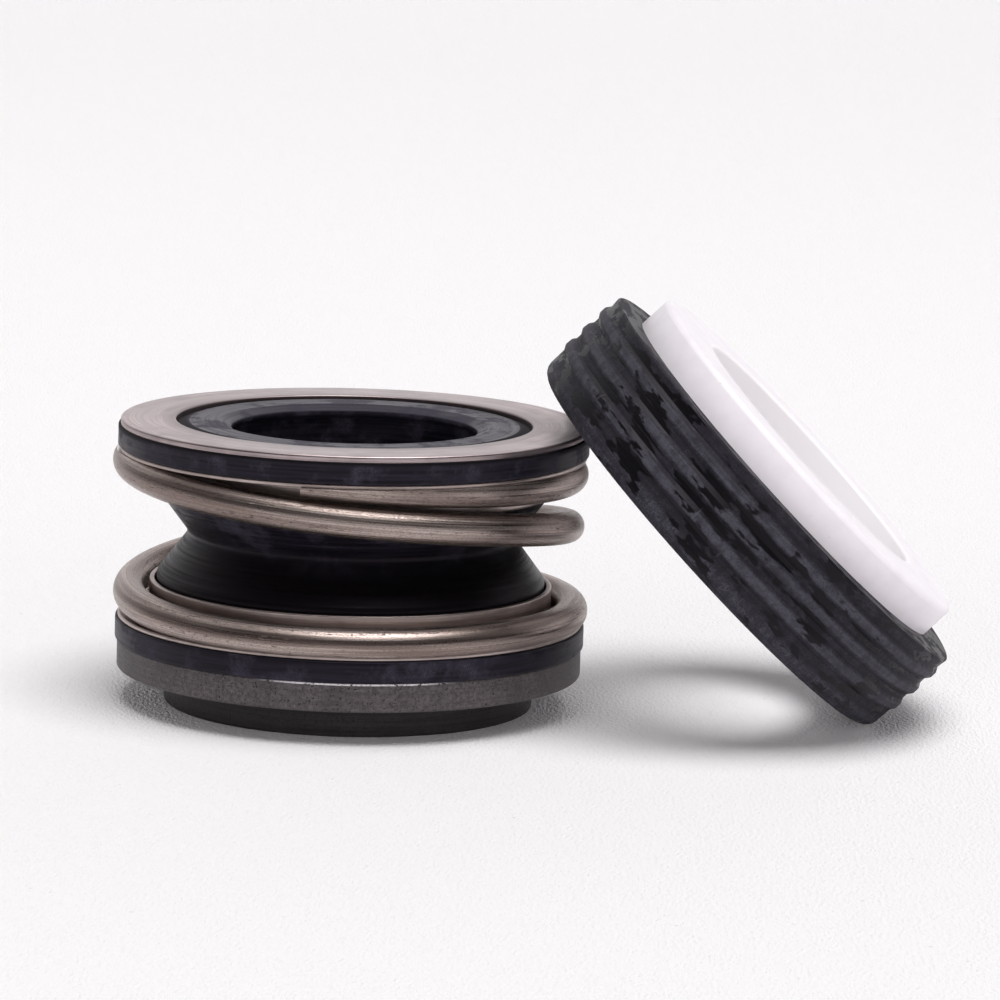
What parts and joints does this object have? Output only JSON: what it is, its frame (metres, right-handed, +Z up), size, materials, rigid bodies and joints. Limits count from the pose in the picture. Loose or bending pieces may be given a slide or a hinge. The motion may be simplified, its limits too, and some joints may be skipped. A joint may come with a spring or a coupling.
{
  "type": "mechanical seal",
  "caption": "Shaft seal for a pump: a spring-loaded rotary head with a rubber bellows and a carbon face, and a ceramic seat in a ribbed rubber cup leaning on it.",
  "frame": {"origin": "centre of the carbon ring's lapped nose face, on the surface that the seal stands on", "axes": "+Z up along the rotary head's axis, from the carbon face to the top plate; +X towards the seat that leans on the head"},
  "size_m": [0.0543, 0.0319, 0.0267],
  "materials": {
    "plate_steel": "brushed, tarnished pinkish",
    "washer_steel": "pressed sheet",
    "spring_steel": "drawn wire with a bronze tint",
    "bellows_rubber": "satin moulded rubber",
    "carbon": "matte carbon-graphite, lapped nose",
    "cup_rubber": "moulded rubber with a powdery bloom",
    "white_ceramic": "fine ground white"
  },
  "bodies": {
    "face_group": {"carbon_ring": "carbon", "bellows": "bellows_rubber", "lower_spring_washer": "washer_steel", "spring": "spring_steel", "seat_cup": "cup_rubber", "ceramic_ring": "white_ceramic"},
    "holder": {"upper_spring_washer": "washer_steel", "top_plate": "plate_steel"}
  },
  "joints": [
    {"name": "head_compression", "type": "slide", "parent": "face_group", "child": "holder", "axis": [0, 0, 1], "range_m": [-0.0035, 0], "stiffness_N_per_m": 6300, "deforming": ["spring", "bellows"]}
  ]
}
